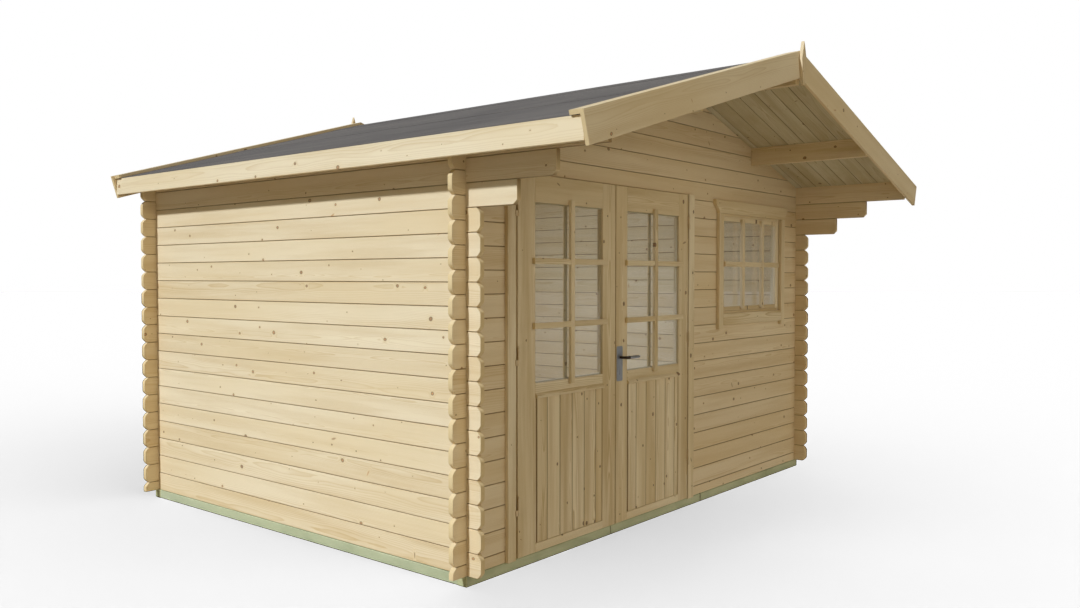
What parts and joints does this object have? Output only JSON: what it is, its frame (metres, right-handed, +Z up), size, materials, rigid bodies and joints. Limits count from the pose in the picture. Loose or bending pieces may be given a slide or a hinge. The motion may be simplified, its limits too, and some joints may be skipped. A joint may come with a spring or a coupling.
{
  "type": "log cabin",
  "caption": "Small garden cabin of interlocking planed logs with a low gable roof, a front canopy on stepped log brackets, a glazed double door and a window.",
  "frame": {"origin": "on the ground under the middle of the roof", "axes": "+Z up, the door side faces -Y, +X to the right seen from the front"},
  "size_m": [4.0092, 3.858, 2.74],
  "materials": {
    "softwood": "planed, untreated",
    "treated_timber": "pressure treated, sawn",
    "glass": "clear",
    "roof_felt": "mineral felt, matt",
    "steel_fittings": "satin"
  },
  "bodies": {
    "house": {"front_back_beams": "treated_timber", "side_beams": "treated_timber", "floor_joists": "treated_timber", "floor_boards": "softwood", "left_wall": "softwood", "right_wall": "softwood", "back_wall": "softwood", "front_wall_left": "softwood", "front_wall_middle": "softwood", "front_wall_right": "softwood", "front_wall_at_window": "softwood", "front_lintel_log": "softwood", "front_gable": "softwood", "back_gable": "softwood", "lower_brackets": "softwood", "upper_brackets": "softwood", "wall_plates": "softwood", "door_frame": "softwood", "door_casing": "softwood", "door_hinge_pins": "steel_fittings", "window_frame": "softwood", "window_glass": "glass", "window_casing": "softwood", "ridge_purlin": "softwood", "side_purlins": "softwood", "left_roof_boards": "softwood", "right_roof_boards": "softwood", "left_roof_felt": "roof_felt", "right_roof_felt": "roof_felt", "eaves_fascias": "softwood", "bargeboards": "softwood", "cap_strips": "softwood", "finials": "softwood"},
    "left_door": {"left_door_stiles": "softwood", "left_door_rails": "softwood", "left_door_boards": "softwood", "left_door_glass": "glass", "left_door_knuckles": "steel_fittings"},
    "right_door": {"right_door_stiles": "softwood", "right_door_rails": "softwood", "right_door_boards": "softwood", "right_door_glass": "glass", "right_door_knuckles": "steel_fittings", "door_handle_plates": "steel_fittings"},
    "lever": {"door_lever": "steel_fittings"}
  },
  "joints": [
    {"name": "left_door_hinge", "type": "hinge", "parent": "house", "child": "left_door", "pos_m": [-1.468, -1.116, 0.95], "axis": [0, 0, -1], "range_deg": [0, 105]},
    {"name": "right_door_hinge", "type": "hinge", "parent": "house", "child": "right_door", "pos_m": [0.158, -1.116, 0.95], "axis": [0, 0, 1], "range_deg": [0, 105]},
    {"name": "lever_turn", "type": "hinge", "parent": "right_door", "child": "lever", "pos_m": [-0.5925, -1.091, 0.991], "axis": [0, 1, 0], "range_deg": [0, 45], "stiffness_Nm_per_rad": 1.2, "springref_deg": -34.38}
  ]
}
